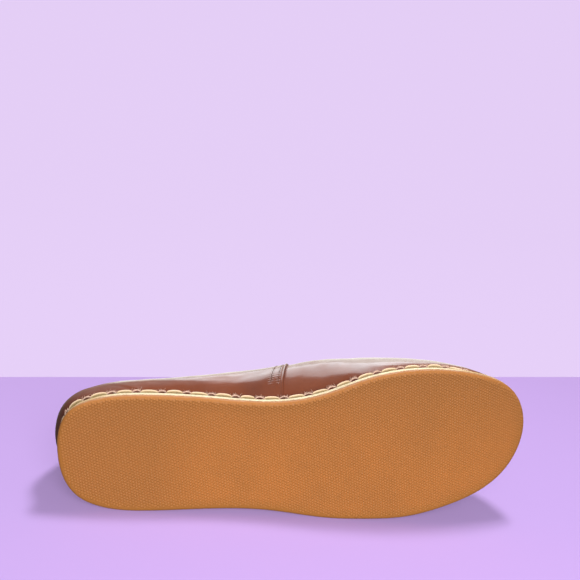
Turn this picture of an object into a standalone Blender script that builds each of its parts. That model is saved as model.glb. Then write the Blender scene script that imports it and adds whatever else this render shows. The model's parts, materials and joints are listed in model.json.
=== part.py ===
"""Turkish yemeni shoe for the left foot, lying on its outer side.

The pieces are made in the shoe's own frame: X runs from the back of the heel to the toe, Y to the
outer side and Z up from the ground that the sole would stand on. An empty then lays them down.
Lengths are in metres.
"""
import math

import bmesh
import bpy
import numpy as np
from mathutils import Matrix, Vector

# Driving dimensions
SOLE_LENGTH = 0.285
BALL_WIDTH = 0.096
INSTEP_HEIGHT = 0.084
HEEL_HEIGHT = 0.066

# Layers of the bottom, from the ground up
OUTSOLE_THICKNESS = 0.0038
MIDSOLE_THICKNESS = 0.0026
WELT_THICKNESS = 0.0030
INSOLE_THICKNESS = 0.0024
GAP = 0.0003

# Edges of the layers, measured inwards from the outsole's outline
MIDSOLE_INSET = 0.0001
WELT_INSET = 0.0007
WELT_OVERHANG = 0.0014
WELT_WIDTH = 0.0085
OUTSOLE_ROUNDING = 0.0020
ROUNDING_STEPS = 3

# The welt's scallops: one for each stitch
STITCH_PITCH = 0.0144
STITCH_START = 0.73
STITCH_HOLE_LENGTH = 0.0046
STITCH_PINCH = 0.0016
POINTS_PER_STITCH = 6

# Bend of the bottom: flat spots at heel and forefoot, an arch between, toe spring in front
HEEL_FLAT = (0.016, 0.042)
FOREFOOT_FLAT = (0.176, 0.196)
HEEL_ROUNDING = 0.0010
ARCH_RISE = 0.0030
TOE_SPRING = 0.0130
BEND_STATIONS = 18

# The upper's wall
WALL_THICKNESS = 0.0018
QUARTER_STEP = 0.0010
SEAM_RIB = 0.0006
SEAM_RIB_WIDTH = 0.0018
SEAM_RIB_FULL = 0.7
SEAM_EDGE = 0.0002
SEAM_ALONG = 0.131
SEAM_LEAN = 0.010
SEAM_SPREAD = 0.1
COLLAR_BEAD = 0.0005
COLLAR_BEAD_SHARE = 0.06
INSOLE_CLEARANCE = 0.0007

# Fineness of the facets
OUTLINE_POINTS = 96
QUARTER_COLUMNS = 40
VAMP_COLUMNS = 40
WALL_ROWS = 12
LOOP_SAMPLES = 1440
SHARP_ANGLE = 35.0
WELD_DISTANCE = 0.00001
FLAT_ANGLE = 0.001

# Steps for reading directions off the curves, as shares of the way along them
NORMAL_STEP = 0.002
NORMAL_SPREAD = 0.05
NORMAL_READINGS = 9

# Densities for the balance point, in kg/m3, and how squarely a resting side faces outwards
RUBBER_DENSITY = 1100.0
LEATHER_DENSITY = 900.0
SIDE_FACING = 0.8
UNDERSIDE_FACING = 0.5

# Materials: linear colour and roughness
MATERIALS = (
    # slot, red, green, blue, roughness
    ("gum_rubber", 0.50, 0.19, 0.048, 0.60),
    ("cut_leather", 0.72, 0.58, 0.36, 0.75),
    ("welt_leather", 0.50, 0.36, 0.19, 0.75),
    ("insole_leather", 0.46, 0.25, 0.11, 0.65),
    ("polished_leather", 0.21, 0.045, 0.025, 0.25),
)

# The outsole's outline: share of SOLE_LENGTH, and shares of BALL_WIDTH to each side of the axis
OUTLINE_SECTIONS = (
    # along, inner side, outer side
    (0.03, 0.297, 0.245),
    (0.08, 0.359, 0.335),
    (0.18, 0.371, 0.381),
    (0.30, 0.331, 0.402),
    (0.44, 0.286, 0.446),
    (0.54, 0.328, 0.499),
    (0.62, 0.411, 0.521),
    (0.72, 0.466, 0.527),
    (0.82, 0.448, 0.476),
    (0.90, 0.385, 0.399),
    (0.96, 0.286, 0.276),
)
HEEL_BACK_ACROSS = -0.010
TOE_TIP_ACROSS = -0.030

# The collar's edge: shares of SOLE_LENGTH and BALL_WIDTH, and of the height named beside it
COLLAR_SECTIONS = (
    # along, inner side, outer side, height as a share of INSTEP_HEIGHT
    (0.08, 0.185, 0.205, 0.770),
    (0.18, 0.235, 0.260, 0.705),
    (0.30, 0.265, 0.290, 0.665),
    (0.42, 0.275, 0.290, 0.690),
    (0.52, 0.250, 0.260, 0.790),
    (0.583, 0.180, 0.190, 0.940),
)
COLLAR_BACK_ALONG = 0.025
COLLAR_THROAT_ALONG = 0.605

# The wall's curve from sole to collar, at shares of the way round the sole's outline
WALL_CURVES = (
    # round, inset, rise, lean, bulge, collar share, reach, fullness, drop
    (0.000, 0.0022, 0.0240, 0.00, 0.0160, 0.000, 0.00, 0.0040, 0.0200),
    (0.060, 0.0025, 0.0130, 0.00, 0.0085, 0.075, 0.00, 0.0070, 0.0230),
    (0.130, 0.0028, 0.0090, 0.00, 0.0092, 0.190, 0.00, 0.0100, 0.0250),
    (0.200, 0.0028, 0.0190, 0.15, 0.0135, 0.310, 0.20, 0.0105, 0.0190),
    (0.235, 0.0028, 0.0270, 0.30, 0.0200, 0.365, 0.30, 0.0110, 0.0170),
    (0.270, 0.0028, 0.0285, 0.33, 0.0230, 0.410, 0.40, 0.0100, 0.0165),
    (0.320, 0.0028, 0.0160, 0.15, 0.0115, 0.440, 0.60, 0.0070, 0.0150),
    (0.380, 0.0028, 0.0115, 0.00, 0.0070, 0.465, 0.62, 0.0040, 0.0150),
    (0.440, 0.0028, 0.0120, 0.00, 0.0065, 0.485, 0.58, 0.0020, 0.0160),
    (0.500, 0.0028, 0.0280, 0.00, 0.0030, 0.500, 0.52, 0.0000, 0.0170),
    (0.560, 0.0028, 0.0270, 0.00, 0.0040, 0.515, 0.58, 0.0000, 0.0150),
    (0.620, 0.0028, 0.0270, 0.00, 0.0055, 0.535, 0.62, 0.0020, 0.0130),
    (0.680, 0.0028, 0.0280, 0.10, 0.0110, 0.560, 0.60, 0.0060, 0.0140),
    (0.740, 0.0028, 0.0260, 0.25, 0.0085, 0.600, 0.40, 0.0090, 0.0170),
    (0.800, 0.0028, 0.0230, 0.15, 0.0070, 0.690, 0.20, 0.0070, 0.0170),
    (0.870, 0.0028, 0.0210, 0.00, 0.0040, 0.810, 0.00, 0.0060, 0.0170),
    (0.940, 0.0025, 0.0230, 0.00, 0.0055, 0.925, 0.00, 0.0035, 0.0190),
)

# Heights of the layers above the bottom's bend
MIDSOLE_LEVEL = OUTSOLE_THICKNESS + GAP
WELT_LEVEL = MIDSOLE_LEVEL + MIDSOLE_THICKNESS + GAP
UPPER_LEVEL = WELT_LEVEL + WELT_THICKNESS + GAP


def periodic_spline(knots, values, period):
    """Closed cubic curve through the values, as a function that takes any place on it."""
    knots = np.asarray(knots, float)
    values = np.asarray(values, float)
    count = len(knots)
    spans = np.diff(np.append(knots, knots[0] + period))
    rises = np.roll(values, -1, axis=0) - values
    slopes = rises / spans[:, None]
    system = np.zeros((count, count))
    for i in range(count):
        system[i, i - 1] += spans[i - 1]
        system[i, i] += 2 * (spans[i - 1] + spans[i])
        system[i, (i + 1) % count] += spans[i]
    bends = np.linalg.solve(system, 6 * (slopes - np.roll(slopes, 1, axis=0)))

    def curve(places):
        places = np.mod(np.asarray(places, float) - knots[0], period) + knots[0]
        left = np.clip(np.searchsorted(knots, places, side="right") - 1, 0, count - 1)
        right = (left + 1) % count
        span = spans[left][:, None]
        ahead = (places - knots[left])[:, None]
        behind = span - ahead
        straight = (values[left] * behind + values[right] * ahead) / span
        bow_left = bends[left] * (behind**3 / span - span * behind) / 6
        bow_right = bends[right] * (ahead**3 / span - span * ahead) / 6
        return straight + bow_left + bow_right

    return curve


def smooth_loop(points):
    """Closed curve through the points, read by the share of the way round from the first one."""
    points = np.asarray(points, float)
    chords = np.linalg.norm(np.roll(points, -1, axis=0) - points, axis=1)
    knots = np.append(0, np.cumsum(chords)[:-1])
    curve = periodic_spline(knots, points, chords.sum())
    dense = curve(np.linspace(0, chords.sum(), LOOP_SAMPLES, endpoint=False))
    dense = np.vstack([dense, dense[:1]])
    walked = np.append(0, np.cumsum(np.linalg.norm(np.diff(dense, axis=0), axis=1)))

    def loop(shares):
        places = np.mod(np.asarray(shares, float), 1.0) * walked[-1]
        return np.stack([np.interp(places, walked, column) for column in dense.T], axis=-1)

    loop.length = walked[-1]
    return loop


def outline_loop():
    """The outsole's outline in the ground plane, from the heel's back round by the inner side."""
    inner = [(along * SOLE_LENGTH, -inside * BALL_WIDTH) for along, inside, _ in OUTLINE_SECTIONS]
    outer = [(along * SOLE_LENGTH, outside * BALL_WIDTH) for along, _, outside in OUTLINE_SECTIONS]
    back = [(0.0, HEEL_BACK_ACROSS * BALL_WIDTH)]
    tip = [(SOLE_LENGTH, TOE_TIP_ACROSS * BALL_WIDTH)]
    return smooth_loop(back + inner + tip + outer[::-1])


def collar_loop():
    """The collar's edge, from the heel's back round by the inner side."""
    rows = [(a * SOLE_LENGTH, i, o, h * INSTEP_HEIGHT) for a, i, o, h in COLLAR_SECTIONS]
    inner = [(along, -inside * BALL_WIDTH, height) for along, inside, _, height in rows]
    outer = [(along, outside * BALL_WIDTH, height) for along, _, outside, height in rows]
    back = [(COLLAR_BACK_ALONG * SOLE_LENGTH, 0.0, HEEL_HEIGHT)]
    throat = [(COLLAR_THROAT_ALONG * SOLE_LENGTH, 0.0, INSTEP_HEIGHT)]
    return smooth_loop(back + inner + throat + outer[::-1])


OUTLINE = outline_loop()
COLLAR = collar_loop()
WALL_TABLE = np.array(WALL_CURVES)
WALL_SPLINE = periodic_spline(WALL_TABLE[:, 0], WALL_TABLE[:, [1, 2, 3, 4, 6, 7, 8]], 1.0)


def outline_normals(shares):
    """Outward directions of the outline in the ground plane."""
    shares = np.asarray(shares, float)
    along = OUTLINE(shares + NORMAL_STEP) - OUTLINE(shares - NORMAL_STEP)
    along /= np.linalg.norm(along, axis=1)[:, None]
    return np.stack([along[:, 1], -along[:, 0]], axis=-1)


def outward_directions(shares):
    """Outward directions of the outline, evened out along it."""
    spread = np.linspace(-NORMAL_SPREAD, NORMAL_SPREAD, NORMAL_READINGS)
    mean = sum(outline_normals(np.asarray(shares) + shift) for shift in spread)
    return mean / np.linalg.norm(mean, axis=1)[:, None]


def inset_outline(shares, inset):
    """Points of the outline moved inwards by the inset, one for each share."""
    return OUTLINE(shares) - outline_normals(shares) * np.reshape(inset, (-1, 1))


def bend(along):
    """Height of the outsole's bottom above the ground at a distance from the heel's back."""
    along = np.asarray(along, float)
    heel = np.clip((HEEL_FLAT[0] - along) / HEEL_FLAT[0], 0, None)
    waist = np.clip((along - HEEL_FLAT[1]) / (FOREFOOT_FLAT[0] - HEEL_FLAT[1]), 0, 1)
    toe = np.clip((along - FOREFOOT_FLAT[1]) / (SOLE_LENGTH - FOREFOOT_FLAT[1]), 0, None)
    return HEEL_ROUNDING * heel**2 + ARCH_RISE * np.sin(math.pi * waist) ** 2 + TOE_SPRING * toe**2


def bend_stations():
    """Distances from the heel at which the bottom's facets meet."""
    waist = np.linspace(HEEL_FLAT[1], FOREFOOT_FLAT[0], BEND_STATIONS // 2)
    toe = np.linspace(FOREFOOT_FLAT[1], SOLE_LENGTH, BEND_STATIONS // 2)
    return np.concatenate([[0.0, HEEL_FLAT[0] / 2, HEEL_FLAT[0]], waist, toe])


def collar_share(shares):
    """The share of the way round the collar where the wall that starts at each share ends."""
    knots = np.append(WALL_TABLE[:, 0], 1.0)
    ends = np.append(WALL_TABLE[:, 5], 1.0)
    return np.interp(np.mod(shares, 1.0), knots, ends)


def seam_share(side):
    """Share of the way round the outline where the side seam starts, on side -1 or +1."""
    shares = np.linspace(0.0, 0.5, LOOP_SAMPLES)
    if side > 0:
        shares = 1.0 - shares
    reach = OUTLINE(shares)[:, 0]
    return float(shares[np.argmax(reach > SEAM_ALONG)])


INNER_SEAM = seam_share(-1)
OUTER_SEAM = seam_share(1)


def slanted(shares, climb):
    """Shares of the way round at a climb: near a side seam they move forward, as the seam leans."""
    for seam, forward in ((INNER_SEAM, 1), (OUTER_SEAM, -1)):
        away = np.abs(np.mod(shares - seam + 0.5, 1.0) - 0.5)
        near = np.clip(1 - away / SEAM_SPREAD, 0, 1)
        shares = shares + forward * SEAM_LEAN * climb * near
    return shares


def wall_points(shares, climbs):
    """Points of the upper's outer surface: shares go round, climbs run from sole 0 to collar 1."""
    inset, rise, lean, bulge, reach, fullness, drop = WALL_SPLINE(np.mod(shares, 1.0)).T[..., None]
    foot = inset_outline(shares, inset)
    foot = np.column_stack([foot, bend(foot[:, 0]) + UPPER_LEVEL])
    top = COLLAR(collar_share(shares))
    outward = np.column_stack([outward_directions(shares), np.zeros(len(foot))])
    across = (top - foot) * (1, 1, 0)
    up = np.array([0, 0, 1.0])
    lower = foot + across * lean + outward * bulge + up * rise
    upper = top - across * reach + outward * fullness - up * drop
    t = np.asarray(climbs, float)[:, None]
    return (
        foot * (1 - t) ** 3
        + lower * 3 * t * (1 - t) ** 2
        + upper * 3 * t**2 * (1 - t)
        + top * t**3
    )


def wall_normals(shares, climbs):
    """Outward directions of the upper's surface."""
    shares = np.asarray(shares, float)
    climbs = np.asarray(climbs, float)
    low = np.clip(climbs - NORMAL_STEP, 0, 1)
    high = np.clip(climbs + NORMAL_STEP, 0, 1)
    up = wall_points(shares, high) - wall_points(shares, low)
    before, after = shares - NORMAL_STEP, shares + NORMAL_STEP
    normals = np.cross(wall_points(after, climbs) - wall_points(before, climbs), up)
    return normals / np.linalg.norm(normals, axis=1)[:, None]


def seam_columns():
    """Columns of the wall's grid: share of the way round and raised thickness at each."""
    edge = SEAM_EDGE / OUTLINE.length
    rib = SEAM_RIB_WIDTH / OUTLINE.length
    quarter = np.linspace(OUTER_SEAM - 1 + 2 * rib, INNER_SEAM - 2 * rib, QUARTER_COLUMNS)
    vamp = np.linspace(INNER_SEAM + edge, OUTER_SEAM - edge, VAMP_COLUMNS)
    raised = QUARTER_STEP + SEAM_RIB
    columns = [(share, QUARTER_STEP) for share in quarter]
    columns += [(INNER_SEAM - rib, QUARTER_STEP), (INNER_SEAM - SEAM_RIB_FULL * rib, raised)]
    columns += [(INNER_SEAM - edge, raised)]
    columns += [(share, 0.0) for share in vamp]
    columns += [(OUTER_SEAM + edge, raised), (OUTER_SEAM + SEAM_RIB_FULL * rib, raised)]
    columns += [(OUTER_SEAM + rib, QUARTER_STEP)]
    return columns


def link(collection, name, mesh, material):
    """An object for the mesh, in the collection, with its material and smooth shading."""
    piece = bpy.data.objects.new(name, mesh)
    collection.objects.link(piece)
    mesh.materials.append(material)
    mesh.shade_smooth()
    mesh.set_sharp_from_angle(angle=math.radians(SHARP_ANGLE))
    return piece


def leather_or_rubber(name, colour, roughness):
    """A Principled material with the piece's colour and roughness."""
    material = bpy.data.materials.new(name)
    material.use_nodes = True
    shader = material.node_tree.nodes["Principled BSDF"]
    shader.inputs["Base Color"].default_value = (*colour, 1.0)
    shader.inputs["Roughness"].default_value = roughness
    shader.inputs["Metallic"].default_value = 0.0
    return material


def flat_plate(name, loops, thickness, level):
    """A plate between closed outlines, cut at the bend's stations and bent to the sole's shape."""
    curve = bpy.data.curves.new(name, "CURVE")
    curve.dimensions = "2D"
    curve.fill_mode = "BOTH"
    curve.extrude = thickness / 2
    for points in loops:
        spline = curve.splines.new("POLY")
        spline.points.add(len(points) - 1)
        for target, (along, across) in zip(spline.points, points):
            target.co = (along, across, 0.0, 1.0)
        spline.use_cyclic_u = True
    flat = bpy.data.objects.new(name, curve)
    bpy.context.scene.collection.objects.link(flat)
    bpy.context.view_layer.update()
    evaluated = flat.evaluated_get(bpy.context.evaluated_depsgraph_get())
    mesh = bpy.data.meshes.new_from_object(evaluated)
    bpy.data.objects.remove(flat)
    bpy.data.curves.remove(curve)
    shape = bmesh.new()
    shape.from_mesh(mesh)
    bmesh.ops.remove_doubles(shape, verts=shape.verts, dist=WELD_DISTANCE)
    bmesh.ops.dissolve_limit(shape, angle_limit=FLAT_ANGLE, verts=shape.verts, edges=shape.edges)
    stations = bend_stations()
    for station in stations[1:-1]:
        everything = shape.verts[:] + shape.edges[:] + shape.faces[:]
        bmesh.ops.bisect_plane(
            shape,
            geom=everything,
            dist=WELD_DISTANCE,
            plane_co=(station, 0, 0),
            plane_no=(1, 0, 0),
        )
    heights = bend(stations)
    for vertex in shape.verts:
        lift = float(np.interp(vertex.co.x, stations, heights))
        vertex.co.z += thickness / 2 + level + lift
    bmesh.ops.recalc_face_normals(shape, faces=shape.faces)
    shape.to_mesh(mesh)
    shape.free()
    mesh.name = name
    mesh.materials.clear()
    return mesh


def make_outsole(collection, material):
    """The rubber sole, its lower edge rounded."""
    shares = np.arange(OUTLINE_POINTS) / OUTLINE_POINTS
    mesh = flat_plate("outsole", [OUTLINE(shares)], OUTSOLE_THICKNESS, 0.0)
    shape = bmesh.new()
    shape.from_mesh(mesh)
    rim = []
    for edge in shape.edges:
        up, down = sorted((face.normal.z for face in edge.link_faces), reverse=True)
        if abs(up) < UNDERSIDE_FACING and down < -UNDERSIDE_FACING:
            rim.append(edge)
    bmesh.ops.bevel(
        shape,
        geom=rim,
        offset=OUTSOLE_ROUNDING,
        offset_type="OFFSET",
        segments=ROUNDING_STEPS,
        profile=0.5,
        affect="EDGES",
        clamp_overlap=True,
    )
    shape.to_mesh(mesh)
    shape.free()
    return link(collection, "outsole", mesh, material)


def make_midsole(collection, material):
    """The leather midsole."""
    shares = np.arange(OUTLINE_POINTS) / OUTLINE_POINTS
    loop = inset_outline(shares, np.full(OUTLINE_POINTS, MIDSOLE_INSET))
    mesh = flat_plate("midsole", [loop], MIDSOLE_THICKNESS, MIDSOLE_LEVEL)
    return link(collection, "midsole", mesh, material)


def make_welt(collection, material):
    """The leather strip under the upper's edge, pinched in at each stitch hole.

    Between the holes it stands out past the sole on the inner side, and is pressed flat on the outer.
    """
    stitches = round(OUTLINE.length / STITCH_PITCH)
    shares = np.arange(stitches * POINTS_PER_STITCH) / (stitches * POINTS_PER_STITCH)
    from_hole = np.abs(np.mod(shares * stitches - STITCH_START + 0.5, 1.0) - 0.5) * STITCH_PITCH
    pinch = np.clip(1 - from_hole / STITCH_HOLE_LENGTH, 0, 1) * STITCH_PINCH
    inward = np.clip(-outline_normals(shares)[:, 1], 0, 1)
    edge = inset_outline(shares, WELT_INSET - WELT_OVERHANG * inward + pinch)
    shares = np.arange(OUTLINE_POINTS) / OUTLINE_POINTS
    hole = inset_outline(shares, np.full(OUTLINE_POINTS, WELT_INSET + WELT_WIDTH))
    mesh = flat_plate("welt", [edge, hole], WELT_THICKNESS, WELT_LEVEL)
    return link(collection, "welt", mesh, material)


def united(mesh, other):
    """The union of two closed meshes as one mesh."""
    pieces = [bpy.data.objects.new(part.name, part) for part in (mesh, other)]
    for piece in pieces:
        bpy.context.scene.collection.objects.link(piece)
    union = pieces[0].modifiers.new("union", "BOOLEAN")
    union.operation = "UNION"
    union.solver = "EXACT"
    union.object = pieces[1]
    bpy.context.view_layer.update()
    evaluated = pieces[0].evaluated_get(bpy.context.evaluated_depsgraph_get())
    result = bpy.data.meshes.new_from_object(evaluated)
    for piece in pieces:
        bpy.data.objects.remove(piece)
    result.name = mesh.name
    return result


def make_insole(collection, material):
    """The leather board inside, with a thick middle that fills the welt's opening."""
    shares = np.arange(OUTLINE_POINTS) / OUTLINE_POINTS
    inset = WALL_SPLINE(shares)[:, 0] + WALL_THICKNESS + INSOLE_CLEARANCE
    board_loop = inset_outline(shares, inset)
    board = flat_plate("insole", [board_loop], INSOLE_THICKNESS, UPPER_LEVEL)
    middle_loop = inset_outline(shares, np.full(OUTLINE_POINTS, WELT_INSET + WELT_WIDTH + GAP))
    depth = UPPER_LEVEL - WELT_LEVEL + INSOLE_THICKNESS / 2
    middle = flat_plate("insole_middle", [middle_loop], depth, WELT_LEVEL)
    return link(collection, "insole", united(board, middle), material)


def make_upper(collection, material):
    """The hollow upper: an outer and an inner surface joined at the sole's edge and the collar."""
    columns = seam_columns()
    shares = np.array([share for share, _ in columns])
    raised = np.array([thickness for _, thickness in columns])
    climbs = np.linspace(0, 1, WALL_ROWS + 1)
    rings = []
    for climb in climbs:
        bead = COLLAR_BEAD if climb > 1 - COLLAR_BEAD_SHARE else 0.0
        rings.append(wall_ring(shares, climb, raised + bead))
    half = (WALL_THICKNESS + raised + COLLAR_BEAD) / 2
    rings.append(wall_ring(shares, 1.0, half - WALL_THICKNESS, half))
    for climb in climbs[::-1]:
        rings.append(wall_ring(shares, climb, np.full(len(shares), -WALL_THICKNESS)))
    shape = bmesh.new()
    grid = [[shape.verts.new(point) for point in ring] for ring in rings]
    for low, high in zip(grid, grid[1:] + grid[:1]):
        for i, vertex in enumerate(low):
            j = (i + 1) % len(low)
            shape.faces.new((vertex, low[j], high[j], high[i]))
    mesh = bpy.data.meshes.new("upper")
    shape.to_mesh(mesh)
    shape.free()
    return link(collection, "upper", mesh, material)


def wall_ring(shares, climb, offset, beyond=None):
    """One ring of the wall at a climb, moved out by the offset and on past the collar's edge."""
    shares = slanted(shares, climb)
    climbs = np.full(len(shares), climb)
    points = wall_points(shares, climbs)
    moved = points + wall_normals(shares, climbs) * offset[:, None]
    if beyond is not None:
        onward = points - wall_points(shares, climbs - NORMAL_STEP)
        onward /= np.linalg.norm(onward, axis=1)[:, None]
        moved += onward * beyond[:, None]
    if climb == 0:
        moved[:, 2] = bend(moved[:, 0]) + UPPER_LEVEL
    return moved


def volume_and_centre(mesh):
    """Volume of a closed mesh and the centre of that volume."""
    mesh.calc_loop_triangles()
    volume, moment = 0.0, Vector()
    for triangle in mesh.loop_triangles:
        a, b, c = (mesh.vertices[i].co for i in triangle.vertices)
        part = a.dot(b.cross(c)) / 6
        volume += part
        moment += (a + b + c) / 4 * part
    return volume, moment / volume


def balance_point(pieces):
    """The shoe's centre of mass in its own frame."""
    weight, moment = 0.0, Vector()
    for piece in pieces:
        density = RUBBER_DENSITY if piece.name == "outsole" else LEATHER_DENSITY
        volume, centre = volume_and_centre(piece.data)
        weight += volume * density
        moment += centre * volume * density
    return moment / weight


def resting_facet(pieces):
    """Outward direction of the hull's facet on the outer side that the balance point is over."""
    hull = bmesh.new()
    for piece in pieces:
        for vertex in piece.data.vertices:
            hull.verts.new(vertex.co)
    bmesh.ops.convex_hull(hull, input=hull.verts)
    hull.normal_update()
    centre = balance_point(pieces)
    found = None
    for face in hull.faces:
        if face.normal.y < SIDE_FACING:
            continue
        corners = [vertex.co for vertex in face.verts]
        foot = centre + face.normal * (corners[0] - centre).dot(face.normal)
        sides = [
            (after - corner).cross(foot - corner).dot(face.normal)
            for corner, after in zip(corners, corners[1:] + corners[:1])
        ]
        if min(sides) >= 0:
            found = face.normal.copy()
    hull.free()
    return found


def lay_down(pieces):
    """An empty that lays the shoe on its outer side, centred on the origin, with the pieces on it."""
    upward = -resting_facet(pieces)
    forward = Vector((1, 0, 0)) - upward * upward.x
    forward.normalize()
    sideways = upward.cross(forward)
    turn = Matrix((forward, sideways, upward))
    laid = [turn @ vertex.co for piece in pieces for vertex in piece.data.vertices]
    low = Vector(min(point[axis] for point in laid) for axis in range(3))
    high = Vector(max(point[axis] for point in laid) for axis in range(3))
    middle = Vector(((low.x + high.x) / 2, (low.y + high.y) / 2, low.z))
    empty = bpy.data.objects.new("lying_on_outer_side", None)
    bpy.context.scene.collection.objects.link(empty)
    empty.rotation_mode = "QUATERNION"
    empty.rotation_quaternion = turn.to_quaternion()
    empty.location = -middle
    for piece in pieces:
        piece.parent = empty
    return empty


def main():
    """Clears the scene, makes the five pieces and lays the shoe down."""
    for old in list(bpy.data.objects):
        bpy.data.objects.remove(old)
    collection = bpy.data.collections.new("turkish_yemeni_shoe")
    bpy.context.scene.collection.children.link(collection)
    slots = {}
    for slot, red, green, blue, roughness in MATERIALS:
        slots[slot] = leather_or_rubber(slot, (red, green, blue), roughness)
    pieces = [
        make_outsole(collection, slots["gum_rubber"]),
        make_midsole(collection, slots["cut_leather"]),
        make_welt(collection, slots["welt_leather"]),
        make_insole(collection, slots["insole_leather"]),
        make_upper(collection, slots["polished_leather"]),
    ]
    lay_down(pieces)
    bpy.context.view_layer.update()


main()
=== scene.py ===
"""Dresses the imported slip-on shoe with its leather, gum tread, welt and stitches, and lights it.

Shapes are worked out in the shoe's own frame, as its solids are: X runs from the heel's back to the
toe, Y to the outer side and Z up from the ground that the sole would stand on, in metres.
"""

import json
import math

import bmesh
import bpy
import numpy as np
from mathutils import Matrix, Vector


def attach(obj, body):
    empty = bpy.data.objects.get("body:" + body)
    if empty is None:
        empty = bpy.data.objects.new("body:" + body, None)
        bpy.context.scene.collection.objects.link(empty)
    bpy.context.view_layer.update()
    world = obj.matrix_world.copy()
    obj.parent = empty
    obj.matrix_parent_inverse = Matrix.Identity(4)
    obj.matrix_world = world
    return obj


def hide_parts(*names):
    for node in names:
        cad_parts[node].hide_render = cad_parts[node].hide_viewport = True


bl_info = {
    "name": "Slip-on shoe dressing",
    "version": (1, 0, 0),
    "blender": (4, 5, 0),
    "location": "View3D > Sidebar > Shoe",
    "description": "Leather, tread, welt and stitches around the packed shoe",
    "category": "Object",
}

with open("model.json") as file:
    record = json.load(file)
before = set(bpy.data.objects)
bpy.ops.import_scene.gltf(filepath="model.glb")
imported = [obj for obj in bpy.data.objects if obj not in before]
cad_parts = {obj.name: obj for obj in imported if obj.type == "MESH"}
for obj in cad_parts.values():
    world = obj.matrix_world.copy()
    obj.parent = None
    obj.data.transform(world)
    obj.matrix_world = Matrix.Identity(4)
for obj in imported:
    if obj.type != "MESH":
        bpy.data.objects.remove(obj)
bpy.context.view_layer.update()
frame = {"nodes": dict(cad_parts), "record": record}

# Sizes of the solids
SOLE_LENGTH = 0.285
BALL_WIDTH = 0.096
INSTEP_HEIGHT = 0.084
HEEL_HEIGHT = 0.066
OUTSOLE_THICKNESS = 0.0038
OUTSOLE_ROUNDING = 0.0020
WELT_LEVEL = 0.0070
UPPER_LEVEL = 0.0103
WALL_THICKNESS = 0.0018
STITCH_PITCH = 0.0144
STITCH_START = 0.73
HEEL_FLAT = (0.016, 0.042)
FOREFOOT_FLAT = (0.176, 0.196)
HEEL_ROUNDING = 0.0010
ARCH_RISE = 0.0030
TOE_SPRING = 0.0130
HEEL_MOUNT_ALONG = 0.030
LOOP_SAMPLES = 1440

# How finely the scene's pieces are made, and where they meet
SOLE_COLUMNS = 400
SOLE_INSETS = (0.016, 0.011, 0.008, 0.006, 0.0045, 0.0033)
STUD_SUNK = 0.00006
WELT_DEPTH = 0.0092
COLLAR_LIP = 0.0005
FLOOR_CLEARANCE = 0.00005
TUBE_GUIDE = (0.3, 0.5, 0.8)
PILLOW_STEPS = 24
PILLOW_SEED = 7
FIBRE_SEED = 11
FIBRES_PER_STITCH = 26

# The outsole's outline: share of SOLE_LENGTH, and shares of BALL_WIDTH to each side of the axis
OUTLINE_SECTIONS = (
    # along, inner side, outer side
    (0.03, 0.297, 0.245),
    (0.08, 0.359, 0.335),
    (0.18, 0.371, 0.381),
    (0.30, 0.331, 0.402),
    (0.44, 0.286, 0.446),
    (0.54, 0.328, 0.499),
    (0.62, 0.411, 0.521),
    (0.72, 0.466, 0.527),
    (0.82, 0.448, 0.476),
    (0.90, 0.385, 0.399),
    (0.96, 0.286, 0.276),
)
HEEL_BACK_ACROSS = -0.010
TOE_TIP_ACROSS = -0.030

# The collar's edge: shares of SOLE_LENGTH and BALL_WIDTH, and of the height named beside it
COLLAR_SECTIONS = (
    # along, inner side, outer side, height as a share of INSTEP_HEIGHT
    (0.08, 0.185, 0.205, 0.770),
    (0.18, 0.235, 0.260, 0.705),
    (0.30, 0.265, 0.290, 0.665),
    (0.42, 0.275, 0.290, 0.690),
    (0.52, 0.250, 0.260, 0.790),
    (0.583, 0.180, 0.190, 0.940),
)
COLLAR_BACK_ALONG = 0.025
COLLAR_THROAT_ALONG = 0.605

# The wall's curve from sole to collar, at shares of the way round the sole's outline
WALL_CURVES = (
    # round, inset, rise, lean, bulge, collar share, reach, fullness, drop
    (0.000, 0.0022, 0.0240, 0.00, 0.0160, 0.000, 0.00, 0.0040, 0.0200),
    (0.060, 0.0025, 0.0130, 0.00, 0.0085, 0.075, 0.00, 0.0070, 0.0230),
    (0.130, 0.0028, 0.0090, 0.00, 0.0092, 0.190, 0.00, 0.0100, 0.0250),
    (0.200, 0.0028, 0.0190, 0.15, 0.0135, 0.310, 0.20, 0.0105, 0.0190),
    (0.235, 0.0028, 0.0270, 0.30, 0.0200, 0.365, 0.30, 0.0110, 0.0170),
    (0.270, 0.0028, 0.0285, 0.33, 0.0230, 0.410, 0.40, 0.0100, 0.0165),
    (0.320, 0.0028, 0.0160, 0.15, 0.0115, 0.440, 0.60, 0.0070, 0.0150),
    (0.380, 0.0028, 0.0115, 0.00, 0.0070, 0.465, 0.62, 0.0040, 0.0150),
    (0.440, 0.0028, 0.0120, 0.00, 0.0065, 0.485, 0.58, 0.0020, 0.0160),
    (0.500, 0.0028, 0.0280, 0.00, 0.0030, 0.500, 0.52, 0.0000, 0.0170),
    (0.560, 0.0028, 0.0270, 0.00, 0.0040, 0.515, 0.58, 0.0000, 0.0150),
    (0.620, 0.0028, 0.0270, 0.00, 0.0055, 0.535, 0.62, 0.0020, 0.0130),
    (0.680, 0.0028, 0.0280, 0.10, 0.0110, 0.560, 0.60, 0.0060, 0.0140),
    (0.740, 0.0028, 0.0260, 0.25, 0.0085, 0.600, 0.40, 0.0090, 0.0170),
    (0.800, 0.0028, 0.0230, 0.15, 0.0070, 0.690, 0.20, 0.0070, 0.0170),
    (0.870, 0.0028, 0.0210, 0.00, 0.0040, 0.810, 0.00, 0.0060, 0.0170),
    (0.940, 0.0025, 0.0230, 0.00, 0.0055, 0.925, 0.00, 0.0035, 0.0190),
)
SEAM_ALONG = 0.131
SEAM_LEAN = 0.010
SEAM_SPREAD = 0.1
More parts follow.
